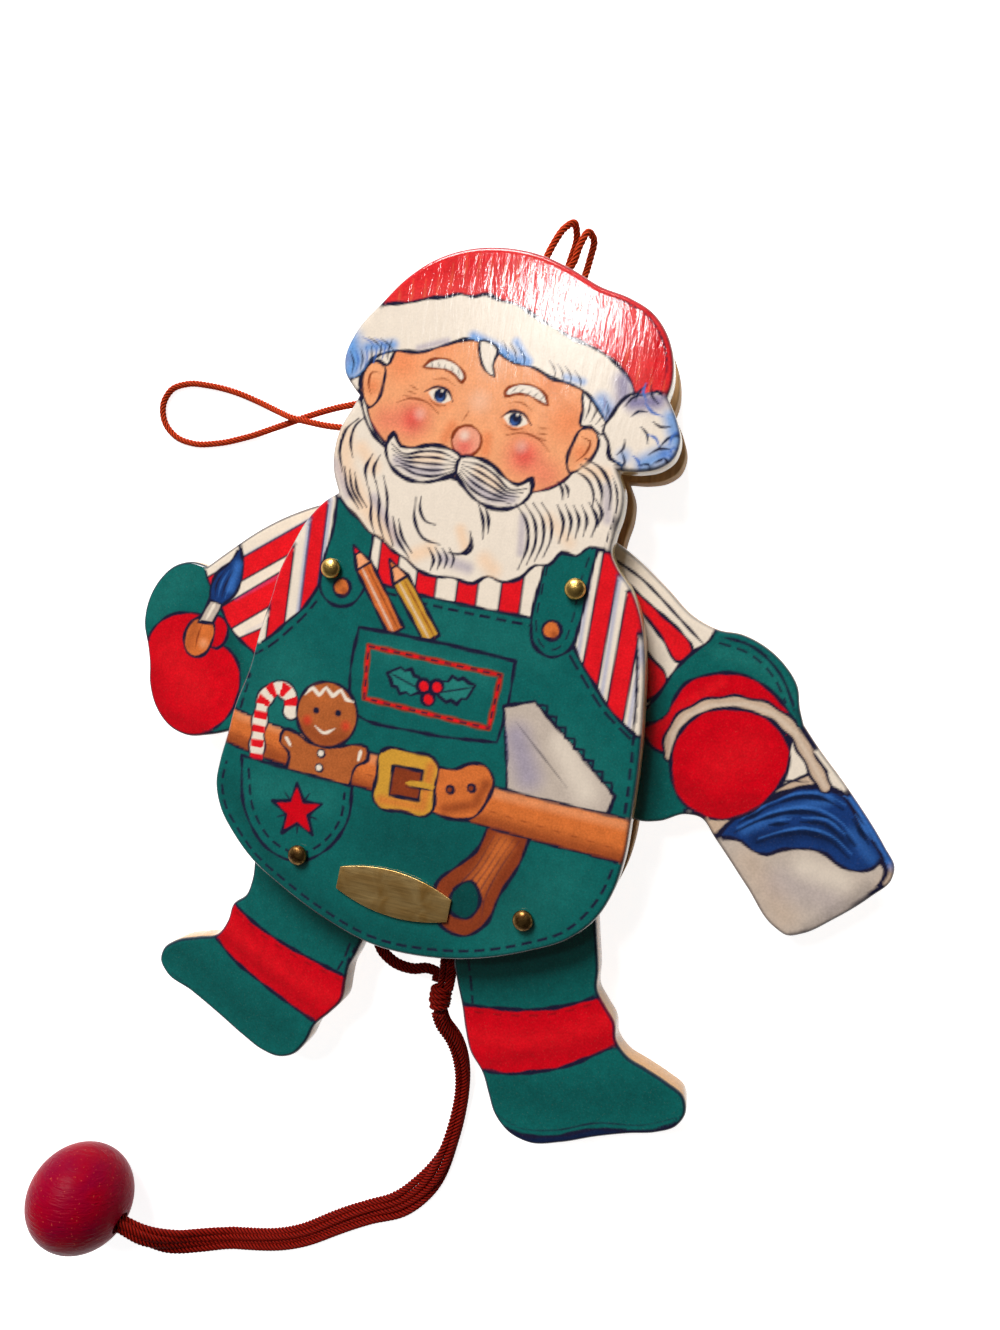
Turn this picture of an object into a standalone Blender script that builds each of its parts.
"""Jumping jack ornament: a flat wooden figure whose arms and legs swing out when its bead is pulled.

It lies on its back. X runs to the viewer's right, Y towards the hat, Z out of the printed face. The
origin is on the back face, in the middle of the body. Sizes are written in millimetres and turned to
metres where the meshes are made.
"""

import math

import bmesh
import bpy
from mathutils import Vector

MM = 0.001

# The sandwich, from the back face up
BACK_BOARD = 4.2
FRONT_BOARD = 4.2
LIMB = 3.9
LIMB_PLAY = 1.35
EDGE_ROUND = 0.45
EDGE_ROUND_STEPS = 2
BACK_EDGE_ROUND = 0.3

# Clearances between pieces that touch on the real object
SEAT_GAP = 0.3
GLUE_GAP = 0.25
LABEL_GAP = 0.15

# Pivots and the levers that the limb cords pull
LEFT_SHOULDER = (-17.4, 15.8)
RIGHT_SHOULDER = (17.6, 17.9)
LEFT_HIP = (-16.7, -25.8)
RIGHT_HIP = (17.4, -27.6)
PULL_TRAVEL = 9.1
ARM_LEVER = 8.5
LEG_LEVER = 11.0
TAB_RADIUS = 2.6
TAB_HOLE_RADIUS = 1.05

# Pins
PIN_SHANK_RADIUS = 0.7
PIN_HEAD_RADIUS = 1.45
PIN_HEAD_HEIGHT = 1.1
PIN_HEAD_RIM = 0.3
PIN_POINT = 1.2
PIN_BOARD_FIT = 0.2
PIN_LIMB_FIT = 0.35
PIN_BACK_COVER = 0.9
PIN_SIDES = 16
DRILL_PAST = 1.0

# Cords
LIMB_CORD = 0.7
HANGING_CORD = 0.9
CORD_GAP = 0.25
CORD_TAIL = 1.9
CORD_STEP = 3.0
HITCH_STEP = 1.4
CORD_BEVEL_RESOLUTION = 2

# Bead, gathering knot and stop knot
BEAD_RADIUS = 8.4
BEAD_HOLE_RADIUS = 1.7
BEAD_MOUTH_RADIUS = 2.3
BEAD_MOUTH_DEPTH = 3.4
BEAD_SIDES = 28
STOP_KNOT_RADIUS = 1.6
KNOT_RADIUS = 1.75
KNOT_LENGTH = 3.6

# Foil label
LABEL_LENGTH = 17.0
LABEL_END = 3.2
LABEL_WAIST = 6.5
LABEL_FOIL = 0.3
LABEL_CENTRE = (-1.6, -28.2)
LABEL_TILT_DEG = -3.7

OUTLINE_STEP = 2.6

MID_GAP = BACK_BOARD + LIMB_PLAY + LIMB / 2
GAP_TOP = BACK_BOARD + LIMB + 2 * LIMB_PLAY
FACE = GAP_TOP + FRONT_BOARD
LIMB_FLOOR = BACK_BOARD + LIMB_PLAY

# Each lever stands as far above its pivot's level at rest as it comes to stand below it when pulled
ARM_SWING_DEG = 2 * math.degrees(math.asin(PULL_TRAVEL / 2 / ARM_LEVER))
LEG_SWING_DEG = 2 * math.degrees(math.asin(PULL_TRAVEL / 2 / LEG_LEVER))

# Outlines, in millimetres. A third entry of 1 is a corner, and every other point lies on a smooth curve.
BOARD_OUTLINE = [
    (-19.8, 44.6), (-18.6, 48.9), (-15.4, 53.0), (-12.4, 56.4), (-8.6, 59.2), (-3.6, 61.0), (0.8, 61.4),
    (6.0, 60.8), (10.6, 59.2), (14.8, 57.2), (18.9, 56.0), (22.0, 54.4), (24.3, 51.8), (25.6, 48.6),
    (25.9, 45.6), (25.6, 43.9, 1), (27.2, 41.2), (28.1, 38.4), (27.6, 36.2), (26.0, 34.8), (23.6, 34.1),
    (20.7, 33.9, 1), (21.9, 31.4), (22.1, 28.6), (21.6, 25.6), (21.5, 23.4), (22.6, 21.4), (24.6, 19.2),
    (26.6, 15.6), (28.0, 10.4), (28.9, 3.6), (29.5, -4.0), (29.6, -11.6), (29.5, -17.0), (28.8, -21.2),
    (26.8, -25.8), (23.6, -29.2), (18.6, -32.0), (12.2, -34.6), (5.1, -36.2), (-3.9, -36.4),
    (-12.1, -34.2), (-19.0, -31.2), (-24.4, -28.1), (-27.6, -25.2), (-30.4, -21.6), (-31.6, -17.9),
    (-31.4, -14.6), (-30.7, -10.6), (-30.0, -6.0), (-28.5, -0.6), (-27.5, 5.6), (-26.5, 10.2),
    (-25.6, 14.6), (-24.2, 18.2), (-22.2, 22.4), (-19.9, 25.2), (-18.1, 26.5, 1), (-19.3, 29.4),
    (-19.6, 32.7), (-18.9, 36.0), (-17.5, 38.8), (-16.9, 40.2, 1), (-18.3, 41.6), (-19.4, 43.0),
]

LEFT_ARM_OUTLINE = [
    (-17.6, 25.9), (-22.7, 25.0), (-27.0, 23.2), (-32.4, 20.0), (-37.2, 16.2), (-40.6, 13.3, 1),
    (-43.4, 13.6), (-46.3, 12.6), (-48.9, 9.8), (-50.3, 6.4), (-50.5, 2.9), (-49.4, -0.6), (-48.8, -3.0),
    (-48.3, -6.4), (-46.7, -9.9), (-43.8, -12.5), (-40.6, -13.3), (-37.2, -12.6), (-33.8, -11.4),
    (-30.4, -9.4), (-26.0, -4.0), (-21.0, 3.4), (-15.6, 8.9), (-12.6, 12.6), (-12.4, 15.9),
]

RIGHT_ARM_OUTLINE = [
    (16.6, 27.1), (20.6, 25.4), (24.6, 23.0), (28.8, 19.9), (33.4, 16.4), (36.6, 15.3), (39.6, 15.2),
    (42.6, 14.2), (45.6, 12.2), (47.8, 9.5), (48.6, 6.6), (49.4, 4.6, 1), (51.6, 2.1), (56.0, -2.4),
    (62.0, -9.4), (63.5, -11.6), (63.4, -13.4), (61.4, -16.0), (57.2, -20.2), (53.8, -22.9),
    (51.9, -23.6), (50.0, -22.8), (45.8, -18.3), (40.6, -12.6), (38.2, -10.2), (36.2, -10.2),
    (33.0, -11.8), (29.8, -12.3), (25.8, -8.6), (22.6, -1.0), (19.8, 6.0), (15.8, 10.6), (12.5, 14.6),
    (12.2, 18.0),
]

LEFT_LEG_OUTLINE = [
    (-18.0, -17.1), (-22.8, -18.9), (-25.6, -23.2), (-26.6, -28.6), (-26.6, -33.4), (-27.2, -35.8),
    (-29.2, -37.8), (-29.8, -40.6), (-31.2, -43.1), (-34.4, -44.3), (-38.2, -45.8), (-40.3, -47.7),
    (-40.6, -49.6), (-39.2, -51.5), (-34.6, -53.3), (-29.2, -55.8), (-24.6, -58.1), (-21.2, -59.5),
    (-18.4, -59.8), (-16.0, -58.8), (-14.2, -56.4), (-13.0, -53.2), (-11.0, -50.8), (-9.3, -48.3),
    (-9.1, -45.4), (-8.9, -43.0), (-8.0, -40.6), (-7.4, -38.4), (-8.3, -34.0), (-9.4, -29.6),
    (-9.4, -25.8),
]

RIGHT_LEG_OUTLINE = [
    (9.8, -27.4), (9.9, -30.4), (8.5, -34.2), (7.0, -37.7), (7.9, -40.8), (9.2, -44.3), (10.2, -47.6),
    (11.4, -50.7), (13.8, -53.6), (15.0, -56.2), (16.4, -59.0), (18.8, -61.1), (22.0, -61.8),
    (26.6, -60.4), (31.2, -58.2), (35.6, -56.4), (39.4, -55.1), (41.9, -53.5), (42.9, -51.2),
    (42.2, -48.9), (39.8, -47.6), (36.6, -46.4), (33.8, -45.4), (32.0, -43.6), (31.4, -41.2),
    (29.8, -39.2), (28.3, -37.2), (28.0, -34.4), (27.2, -30.4), (26.2, -26.2), (23.4, -21.2),
    (18.6, -19.0), (13.6, -19.7),
]

SPACER_OUTLINE = [
    (-6.0, 34.5), (4.0, 33.0), (13.0, 34.2), (16.0, 39.0), (16.2, 45.0), (12.6, 50.4), (5.0, 52.2),
    (-2.0, 50.6), (-6.2, 46.0), (-7.4, 40.0),
]

# Routes of the cords, in millimetres, as (x, y, z) with z above the back face
HANGING_ROUTE = [
    (4.2, 53.2, 8.9), (4.2, 56.6, 9.0), (4.9, 60.4, 8.9), (5.9, 64.0, 8.6), (7.2, 66.9, 7.9),
    (8.1, 68.0, 6.6), (8.4, 66.8, 5.4), (8.0, 63.6, 5.3), (7.2, 60.2, 5.4), (4.4, 57.3, 5.6),
    (0.2, 56.0, 5.8), (-4.4, 54.6, 5.8), (-8.6, 51.8, 5.7), (-11.6, 48.0, 5.5), (-14.0, 44.2, 5.2),
    (-17.2, 42.1, 5.0), (-21.0, 40.9, 4.8), (-25.4, 39.9, 3.9), (-29.4, 38.8, 2.8), (-33.2, 37.5, 1.9),
    (-37.0, 36.2, 1.0), (-41.2, 34.6, 0.55), (-46.8, 32.9, 0.5), (-51.2, 32.4, 0.5), (-54.6, 33.2, 0.5),
    (-57.0, 35.4, 0.5), (-57.6, 38.2, 0.5), (-56.4, 40.6, 0.5), (-53.6, 41.8, 0.5), (-49.6, 41.9, 0.5),
    (-44.8, 41.3, 0.55), (-40.2, 40.1, 0.9), (-36.4, 38.9, 1.9), (-33.0, 37.9, 3.2), (-29.6, 37.4, 3.9),
    (-25.4, 37.0, 4.6), (-21.2, 37.1, 5.2), (-16.8, 38.0, 6.4), (-13.2, 40.6, 7.6), (-11.2, 44.6, 8.4),
    (-8.6, 48.8, 8.6), (-4.6, 52.4, 8.6), (0.2, 54.8, 8.2), (1.8, 58.0, 7.4), (6.0, 60.0, 7.0),
    (8.8, 62.2, 7.3), (9.6, 64.8, 7.7), (10.4, 66.7, 7.3), (11.0, 66.2, 6.0), (10.8, 63.6, 5.6),
    (10.2, 59.6, 6.2), (9.0, 55.6, 7.0), (8.6, 52.6, 7.5),
]

LIMB_CORD_LAYER = 0.9
LEG_CORD_SIDE = 1.05
KNOT_CENTRE = (5.4, -44.6, MID_GAP)
LEFT_ARM_CORD_ROUTE = [(-7.6, 8.0), (-4.2, -4.0), (-1.8, -14.0), (-1.0, -22.0), (1.2, -30.0), (4.0, -36.4)]
RIGHT_ARM_CORD_ROUTE = [(7.4, 9.0), (3.6, -3.0), (1.6, -13.0), (1.6, -21.0), (3.0, -29.0), (5.0, -36.0)]
LEFT_LEG_CORD_ROUTE = [
    (-5.2, -31.0), (-5.6, -36.4), (-4.8, -39.8), (-2.6, -41.3), (0.2, -41.6), (2.6, -41.0),
]
RIGHT_LEG_CORD_ROUTE = [(6.2, -31.0), (6.2, -36.0)]

PULL_ROUTE = [
    (5.5, -46.9, 7.4), (6.0, -48.8, 6.6), (7.3, -51.6, 5.0), (8.6, -55.2, 3.3), (9.5, -59.6, 1.8),
    (9.6, -65.6, 0.8), (8.2, -72.0, 0.5), (5.2, -78.6, 0.5), (1.6, -83.2, 0.5), (-2.6, -85.9, 0.5),
    (-8.4, -89.5, 0.5), (-14.2, -93.1, 0.5), (-20.2, -96.1, 0.5), (-26.4, -98.2, 0.8),
    (-31.0, -98.8, 2.4), (-35.2, -98.2, 5.2), (-38.9, -96.8, 7.6),
]
STRAND_COUNT = 4
STRAND_SPREAD = 1.05
GATHERED_LENGTH = 13.0
BEAD_CENTRE = (-50.5, -93.5, BEAD_RADIUS)
BEAD_HOLE_DIRECTION = (0.97, -0.25, 0.0)


def clear_scene():
    """Empty the file of objects, so that the script gives the same result each time it runs."""
    for item in list(bpy.data.objects):
        bpy.data.objects.remove(item, do_unlink=True)


def make_material(name, colour, roughness, metallic=0.0):
    """A plain Principled material of one colour."""
    material = bpy.data.materials.new(name)
    material.use_nodes = True
    shader = material.node_tree.nodes["Principled BSDF"]
    shader.inputs["Base Color"].default_value = (*colour, 1.0)
    shader.inputs["Roughness"].default_value = roughness
    shader.inputs["Metallic"].default_value = metallic
    material.diffuse_color = (*colour, 1.0)
    return material


def metres(point):
    return Vector(point) * MM


def add_object(name, data, material):
    item = bpy.data.objects.new(name, data)
    bpy.context.scene.collection.objects.link(item)
    if material:
        data.materials.append(material)
    return item


def smooth_line(points, closed, step):
    """Points along one smooth curve through the given ones, which it keeps.

    A point may end in a 1 beyond its coordinates, which makes it a corner.
    """
    size = 2 if closed else 3
    count = len(points)
    places = [Vector(p[:size]).to_3d() for p in points]
    corners = [len(p) > size and p[size] == 1 for p in points]

    def slope(i):
        before = places[i] - places[i - 1]
        after = places[(i + 1) % count] - places[i]
        mean = before / before.length * after.length + after / after.length * before.length
        return mean / (before.length + after.length)

    line = []
    for i in range(count if closed else count - 1):
        j = (i + 1) % count
        start, end = places[i], places[j]
        span = (end - start).length
        free_start = corners[i] or (not closed and i == 0)
        free_end = corners[j] or (not closed and j == count - 1)
        leave = (end - start) / span if free_start else slope(i)
        reach = (end - start) / span if free_end else slope(j)
        steps = max(1, round(span / step))
        for k in range(steps):
            t = k / steps
            a, b = 2 * t**3 - 3 * t**2 + 1, t**3 - 2 * t**2 + t
            c, d = 3 * t**2 - 2 * t**3, t**3 - t**2
            line.append(start * a + leave * (span * b) + end * c + reach * (span * d))
    if not closed:
        line.append(places[-1])
    return line


def turned_left(direction):
    return Vector((-direction.y, direction.x, 0.0))


def inset(line, distance):
    """A closed counter-clockwise line moved inwards by a distance, mitred at its corners."""
    moved = []
    for i, place in enumerate(line):
        before = turned_left((place - line[i - 1]).normalized())
        after = turned_left((line[(i + 1) % len(line)] - place).normalized())
        mean = (before + after).normalized()
        moved.append(place + mean * (distance / max(0.5, mean.dot(after))))
    return moved


def counter_clockwise(line):
    area = sum(line[i - 1].x * p.y - p.x * line[i - 1].y for i, p in enumerate(line))
    return line if area > 0 else list(reversed(line))


def plate(name, line, floor, thickness, edge, steps, material, pivot=(0.0, 0.0)):
    """A sawn board: the closed line raised by the thickness, its rims rounded, its origin at the pivot."""
    line = counter_clockwise(line)
    levels = []
    for k in range(steps + 1):
        turn = math.pi / 2 * k / steps
        levels.append((edge * (1 - math.sin(turn)), floor + edge * (1 - math.cos(turn))))
    levels += [(away, 2 * floor + thickness - z) for away, z in reversed(levels)]
    mesh_tool = bmesh.new()
    rings = []
    for away, z in levels:
        ring = inset(line, away) if away > 1e-6 else line
        rings.append([mesh_tool.verts.new(metres((p.x - pivot[0], p.y - pivot[1], z))) for p in ring])
    for low, high in zip(rings, rings[1:]):
        for i in range(len(low)):
            mesh_tool.faces.new((low[i - 1], low[i], high[i], high[i - 1]))
    mesh_tool.faces.new(list(reversed(rings[0])))
    mesh_tool.faces.new(rings[-1])
    item = finish_mesh(name, mesh_tool, material)
    item.location = metres((pivot[0], pivot[1], 0.0))
    return item


def finish_mesh(name, mesh_tool, material):
    """Write the mesh out as an object, smooth on its round faces."""
    mesh = bpy.data.meshes.new(name)
    mesh_tool.to_mesh(mesh)
    mesh_tool.free()
    mesh.shade_smooth()
    mesh.set_sharp_from_angle(angle=math.radians(35))
    return add_object(name, mesh, material)


def turned(name, profile, sides, material, place=(0.0, 0.0, 0.0), direction=(0.0, 0.0, 1.0)):
    """A turned piece. The profile holds (radius, height) pairs from its top centre to its bottom centre."""
    mesh_tool = bmesh.new()
    rings = []
    for radius, height in profile:
        if radius == 0:
            rings.append([mesh_tool.verts.new(metres((0, 0, height)))])
            continue
        ring = []
        for k in range(sides):
            turn = 2 * math.pi * k / sides
            ring.append(mesh_tool.verts.new(metres((radius * math.cos(turn), radius * math.sin(turn), height))))
        rings.append(ring)
    for high, low in zip(rings, rings[1:]):
        for k in range(sides):
            corners = [high[k % len(high)], low[k % len(low)], low[(k + 1) % len(low)], high[(k + 1) % len(high)]]
            unique = list(dict.fromkeys(corners))
            mesh_tool.faces.new(unique)
    if len(rings[0]) > 1:
        for k in range(sides):
            ends = (rings[-1][k], rings[0][k], rings[0][(k + 1) % sides], rings[-1][(k + 1) % sides])
            mesh_tool.faces.new(ends)
    item = finish_mesh(name, mesh_tool, material)
    item.rotation_euler = Vector(direction).to_track_quat("Z", "Y").to_euler()
    item.location = metres(place)
    return item


def drill(item, place, radius, low, high):
    """Bore a round hole through an item, parallel to Z."""
    profile = [(0, high), (radius, high), (radius, low), (0, low)]
    cutter = turned(item.name + "_drill", profile, PIN_SIDES, None, (place[0], place[1], 0.0))
    cutter.hide_render = True
    cutter.display_type = "WIRE"
    hole = item.modifiers.new("hole", "BOOLEAN")
    hole.operation = "DIFFERENCE"
    hole.solver = "EXACT"
    hole.object = cutter


def cord(name, line, diameter, material, body_origin=(0.0, 0.0, 0.0)):
    """A round cord along a line of points in millimetres."""
    data = bpy.data.curves.new(name, "CURVE")
    data.dimensions = "3D"
    data.bevel_depth = diameter / 2 * MM
    data.bevel_resolution = CORD_BEVEL_RESOLUTION
    data.use_fill_caps = True
    spline = data.splines.new("POLY")
    spline.points.add(len(line) - 1)
    for point, place in zip(spline.points, line):
        point.co = (*metres(Vector(place) - Vector(body_origin)), 1.0)
    item = add_object(name, data, material)
    item.location = metres(body_origin)
    return item


def around(centre, radius, degrees):
    turn = math.radians(degrees)
    return (centre[0] + radius * math.cos(turn), centre[1] + radius * math.sin(turn))


def lever_end(pivot, lever, swing, right):
    """The tab hole of a limb. The lever stands half its swing above the level at rest."""
    angle = 180 - swing / 2 if right else swing / 2
    return around(pivot, lever, angle), angle


def with_tab(outline, hole, angle, turn):
    """An outline with the limb's drilled tab, a rounded end about its hole, at the end of the list."""
    arc = [around(hole, TAB_RADIUS, angle + turn * step) for step in (-90, -45, 0, 45, 90)]
    return outline + arc


def make_limb(name, outline, pivot, hole, angle, turn, material):
    line = smooth_line(with_tab(outline, hole, angle, turn), True, OUTLINE_STEP)
    limb = plate(name, line, LIMB_FLOOR, LIMB, EDGE_ROUND, EDGE_ROUND_STEPS, material, pivot)
    low, high = LIMB_FLOOR - DRILL_PAST, LIMB_FLOOR + LIMB + DRILL_PAST
    drill(limb, pivot, PIN_SHANK_RADIUS + PIN_LIMB_FIT, low, high)
    drill(limb, hole, TAB_HOLE_RADIUS, low, high)
    return limb


def knot_surface(side, layer, direction):
    """Where a cord parallel to Y meets the gathering knot, with the seat gap added."""
    inner_edge = math.hypot(side, layer) - LIMB_CORD / 2
    share = (inner_edge / KNOT_RADIUS) ** 2
    return KNOT_CENTRE[1] + direction * (KNOT_LENGTH / 2 * math.sqrt(1 - share) + SEAT_GAP)


def make_limb_cord(name, hole, route, layer, knot_side, right, material):
    """A cord looped through the tab hole and round the tab's edge, then led down to the gathering knot."""
    centre = Vector((*hole, MID_GAP))
    away = (Vector((*route[0], MID_GAP)) - centre).normalized()
    side = turned_left(away) * (-1 if right else 1)
    up = Vector((0, 0, 1))
    lie = LIMB_CORD / 2 + CORD_GAP / 2
    over = LIMB / 2 + CORD_GAP + LIMB_CORD / 2
    edge = TAB_RADIUS + CORD_GAP + LIMB_CORD
    # One round of the hitch as (along the cord, sideways, above the middle of the tab)
    under_tab = [
        (edge + CORD_TAIL, -lie, 0.0),
        (edge + CORD_GAP, -lie, -0.2 * over),
        (edge - 0.1, -0.4 * lie, -0.6 * over),
        (edge - LIMB_CORD, 0.0, -0.97 * over),
        (2 * LIMB_CORD, 0.0, -over),
        (LIMB_CORD / 2, 0.0, -0.88 * over),
        (0.0, 0.0, -0.4 * over),
    ]
    over_tab = [(along, -off, -rise) for along, off, rise in reversed(under_tab)]
    hitch = [centre + away * along + side * off + up * rise for along, off, rise in under_tab + over_tab]
    top = knot_surface(knot_side, layer, 1)
    x = KNOT_CENTRE[0] + knot_side
    run = [hitch[-1], Vector((*route[0], MID_GAP + layer * 0.6))]
    run += [Vector((*place, MID_GAP + layer)) for place in route[1:]]
    run += [Vector((x, top + 2 * LIMB_CORD, MID_GAP + layer)), Vector((x, top, MID_GAP + layer))]
    line = smooth_line(hitch, False, LIMB_CORD * HITCH_STEP)
    line += smooth_line(run, False, LIMB_CORD * CORD_STEP)[1:]
    return cord(name, line, LIMB_CORD, material, (*hole, 0.0))


def make_pin(name, place, material):
    """A brass pin with a domed head, driven through both boards and the limb between them."""
    under = FACE + SEAT_GAP
    crown = under + PIN_HEAD_HEIGHT
    profile = [(0, crown)]
    for degrees in (25, 50, 75):
        turn = math.radians(degrees)
        rise = PIN_HEAD_HEIGHT - PIN_HEAD_RIM
        profile.append((PIN_HEAD_RADIUS * math.sin(turn), under + PIN_HEAD_RIM + rise * math.cos(turn)))
    profile += [
        (PIN_HEAD_RADIUS, under + PIN_HEAD_RIM),
        (PIN_HEAD_RADIUS * 0.94, under),
        (PIN_SHANK_RADIUS, under),
        (PIN_SHANK_RADIUS, PIN_BACK_COVER + PIN_POINT),
        (0, PIN_BACK_COVER),
    ]
    return turned(name, profile, PIN_SIDES, material, (*place, 0.0))


def make_label(material):
    """A foil label with straight ends and bowed long edges."""
    half, end, waist = LABEL_LENGTH / 2, LABEL_END / 2, LABEL_WAIST / 2
    turn = math.radians(LABEL_TILT_DEG)
    line = []
    for side in (1, -1):
        for k in range(9):
            along = half * side * (1 - k / 4)
            bow = end + (waist - end) * (1 - (along / half) ** 2)
            x, y = along, bow * side
            line.append(
                Vector(
                    (
                        LABEL_CENTRE[0] + x * math.cos(turn) - y * math.sin(turn),
                        LABEL_CENTRE[1] + x * math.sin(turn) + y * math.cos(turn),
                        0.0,
                    )
                )
            )
    return plate("foil_label", line, FACE + LABEL_GAP, LABEL_FOIL, 0.05, 1, material)


def make_bead(material):
    """A turned ball with a bore for the cords, wider at the far end for the stop knot."""
    mouth = BEAD_MOUTH_RADIUS
    top = math.sqrt(BEAD_RADIUS**2 - BEAD_HOLE_RADIUS**2)
    foot = -math.sqrt(BEAD_RADIUS**2 - mouth**2)
    profile = []
    steps = 14
    start, stop = math.acos(top / BEAD_RADIUS), math.acos(foot / BEAD_RADIUS)
    for k in range(steps + 1):
        turn = start + (stop - start) * k / steps
        profile.append((BEAD_RADIUS * math.sin(turn), BEAD_RADIUS * math.cos(turn)))
    profile += [(mouth, foot + BEAD_MOUTH_DEPTH), (BEAD_HOLE_RADIUS, foot + BEAD_MOUTH_DEPTH)]
    return turned("bead", profile, BEAD_SIDES, material, BEAD_CENTRE, BEAD_HOLE_DIRECTION)


def make_stop_knot(material):
    """The knot in the bead's wide mouth that keeps it on the cords."""
    way = Vector(BEAD_HOLE_DIRECTION).normalized()
    foot = -math.sqrt(BEAD_RADIUS**2 - BEAD_MOUTH_RADIUS**2)
    middle = foot + BEAD_MOUTH_DEPTH - SEAT_GAP - STOP_KNOT_RADIUS
    place = Vector(BEAD_CENTRE) + way * middle
    return turned("stop_knot", ball(STOP_KNOT_RADIUS, STOP_KNOT_RADIUS), 12, material, place, tuple(way))


def ball(radius, half_height):
    profile = [(0, half_height)]
    for k in range(1, 6):
        turn = math.pi * k / 6
        profile.append((radius * math.sin(turn), half_height * math.cos(turn)))
    return profile + [(0, -half_height)]


def pull_strands(material):
    """The free cords from the gathering knot to the bead: two over two at both ends, flat between."""
    way = Vector(BEAD_HOLE_DIRECTION).normalized()
    entry = Vector(BEAD_CENTRE) + way * (BEAD_RADIUS + SEAT_GAP)
    inner_end = Vector(BEAD_CENTRE) + way * (BEAD_MOUTH_DEPTH - BEAD_RADIUS + 2 * SEAT_GAP)
    line = smooth_line(PULL_ROUTE + [(*entry, 1)], False, LIMB_CORD * CORD_STEP)
    bore = smooth_line([entry, inner_end], False, LIMB_CORD * CORD_STEP * 2)
    free = sum((b - a).length for a, b in zip(line, line[1:]))
    line += bore[1:]
    last = len(line) - 1
    for number in range(STRAND_COUNT):
        right = 1 if number >= STRAND_COUNT / 2 else -1
        outer = number in (0, STRAND_COUNT - 1)
        points = []
        travelled = 0.0
        for i, place in enumerate(line):
            if i:
                travelled += (place - line[i - 1]).length
            near = min(travelled, max(0.0, free - travelled))
            share = min(1.0, near / GATHERED_LENGTH)
            # The outer strand swings out from under the inner one, and both come to lie level
            swing = math.pi / 2 * share * share * (3 - 2 * share)
            wide = right * (0.5 + math.sin(swing) if outer else 0.5)
            rise = math.cos(swing) * (-0.5 if outer else 0.5)
            ahead = (line[min(i + 1, last)] - line[max(i - 1, 0)]).normalized()
            side = turned_left(ahead).normalized()
            points.append(place + (side * wide + ahead.cross(side) * rise) * STRAND_SPREAD)
        cord(f"pull_cord_{number + 1}", points, LIMB_CORD, material)


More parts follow.
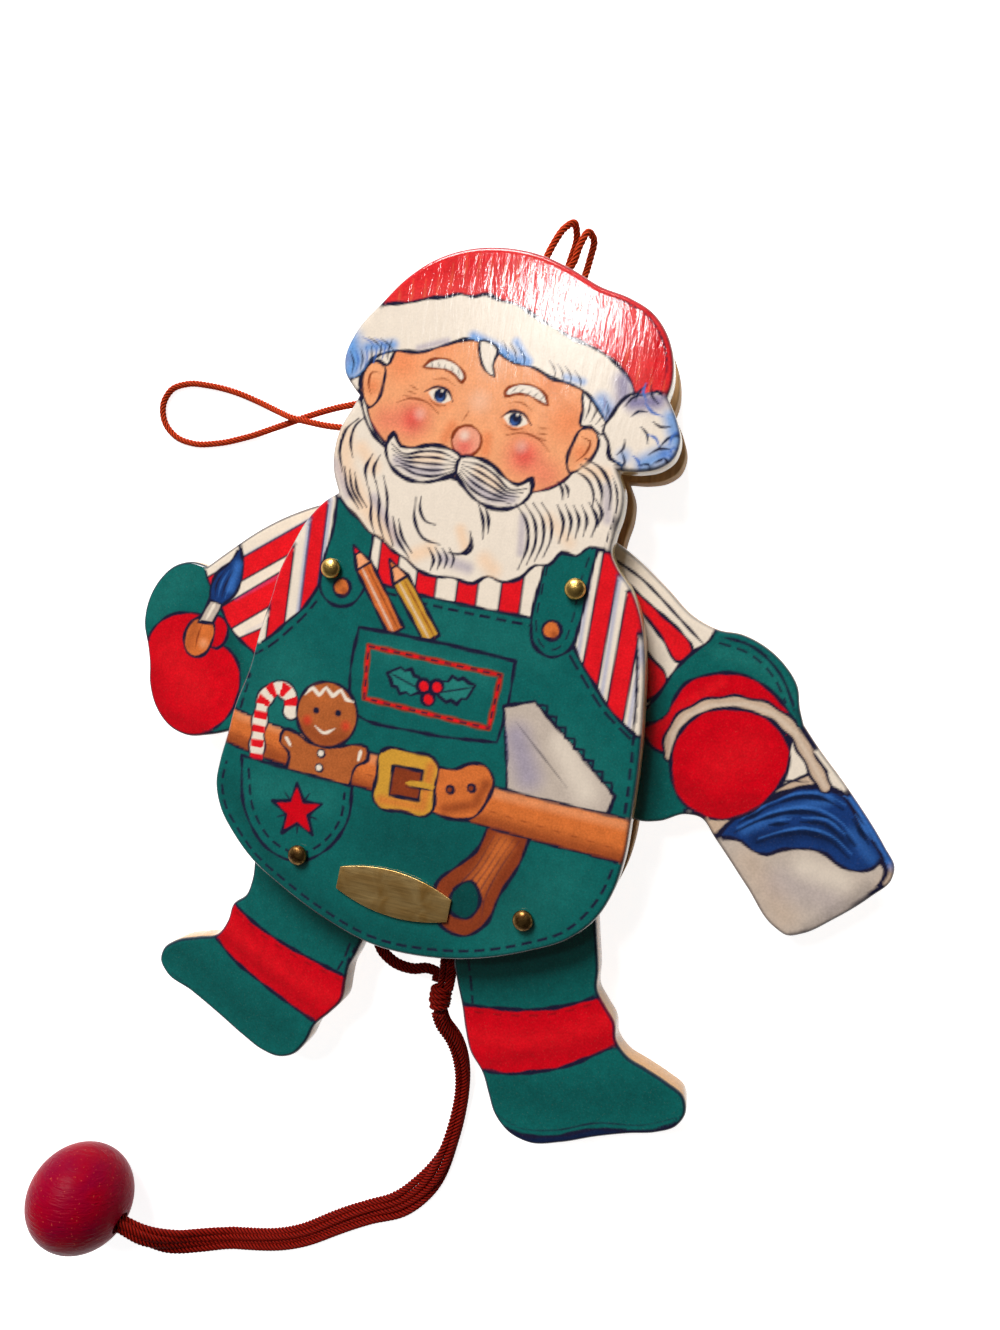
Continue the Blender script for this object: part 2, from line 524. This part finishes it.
def main():
    clear_scene()
    printed = make_material("printed_birch_front", (0.07, 0.30, 0.26), 0.35)
    bare = make_material("bare_birch_back", (0.62, 0.42, 0.24), 0.6)
    sleeve = make_material("printed_birch_arms", (0.65, 0.06, 0.06), 0.35)
    boot = make_material("printed_birch_legs", (0.05, 0.25, 0.22), 0.35)
    block = make_material("birch_spacer", (0.60, 0.42, 0.25), 0.65)
    brass = make_material("brass_pin", (0.72, 0.52, 0.20), 0.3, 1.0)
    foil = make_material("gold_foil_label", (0.70, 0.58, 0.28), 0.3, 1.0)
    red_cord = make_material("rust_red_cord", (0.32, 0.03, 0.01), 0.7)
    crimson = make_material("crimson_bead", (0.35, 0.01, 0.03), 0.35)

    pins = {
        "left_shoulder_pin": LEFT_SHOULDER,
        "right_shoulder_pin": RIGHT_SHOULDER,
        "left_hip_pin": LEFT_HIP,
        "right_hip_pin": RIGHT_HIP,
    }
    outline = smooth_line(BOARD_OUTLINE, True, OUTLINE_STEP)
    front = plate("front_board", outline, GAP_TOP, FRONT_BOARD, EDGE_ROUND, EDGE_ROUND_STEPS, printed)
    back = plate("back_board", outline, 0.0, BACK_BOARD, BACK_EDGE_ROUND, 1, bare)
    for name, place in pins.items():
        bore = PIN_SHANK_RADIUS + PIN_BOARD_FIT
        drill(front, place, bore, GAP_TOP - DRILL_PAST, FACE + DRILL_PAST)
        drill(back, place, bore, PIN_BACK_COVER - PIN_BOARD_FIT, BACK_BOARD + DRILL_PAST)
        make_pin(name, place, brass)
    spacer = smooth_line(SPACER_OUTLINE, True, 2 * OUTLINE_STEP)
    spacer_height = GAP_TOP - BACK_BOARD - 2 * GLUE_GAP
    plate("head_spacer", spacer, BACK_BOARD + GLUE_GAP, spacer_height, 0.2, 1, block)
    make_label(foil)

    limbs = {
        "left_arm": (LEFT_ARM_OUTLINE, LEFT_SHOULDER, ARM_LEVER, ARM_SWING_DEG, False, 1, sleeve),
        "right_arm": (RIGHT_ARM_OUTLINE, RIGHT_SHOULDER, ARM_LEVER, ARM_SWING_DEG, True, -1, sleeve),
        "left_leg": (LEFT_LEG_OUTLINE, LEFT_HIP, LEG_LEVER, LEG_SWING_DEG, False, 1, boot),
        "right_leg": (RIGHT_LEG_OUTLINE, RIGHT_HIP, LEG_LEVER, LEG_SWING_DEG, True, 1, boot),
    }
    holes = {}
    for name, (shape, pivot, lever, swing, right, turn, material) in limbs.items():
        hole, angle = lever_end(pivot, lever, swing, right)
        holes[name] = hole
        make_limb(name, shape, pivot, hole, angle, turn, material)

    # The left cords lie below the right ones, so that they can cross over the middle as the levers turn
    low, high, side = -LIMB_CORD_LAYER, LIMB_CORD_LAYER, LEG_CORD_SIDE
    for limb, route, layer, knot_side in (
        ("left_arm", LEFT_ARM_CORD_ROUTE, low, 0.0),
        ("right_arm", RIGHT_ARM_CORD_ROUTE, high, 0.0),
        ("left_leg", LEFT_LEG_CORD_ROUTE, low, -side),
        ("right_leg", RIGHT_LEG_CORD_ROUTE, high, side),
    ):
        make_limb_cord(f"{limb}_cord", holes[limb], route, layer, knot_side, layer == high, red_cord)

    turned("gathering_knot", ball(KNOT_RADIUS, KNOT_LENGTH / 2), 12, red_cord, KNOT_CENTRE, (0, 1, 0))
    pull_strands(red_cord)
    make_bead(crimson)
    make_stop_knot(red_cord)
    hanging = smooth_line(HANGING_ROUTE, False, HANGING_CORD * 3.2)
    cord("hanging_cord", hanging, HANGING_CORD, red_cord)


if __name__ == "__main__":
    main()
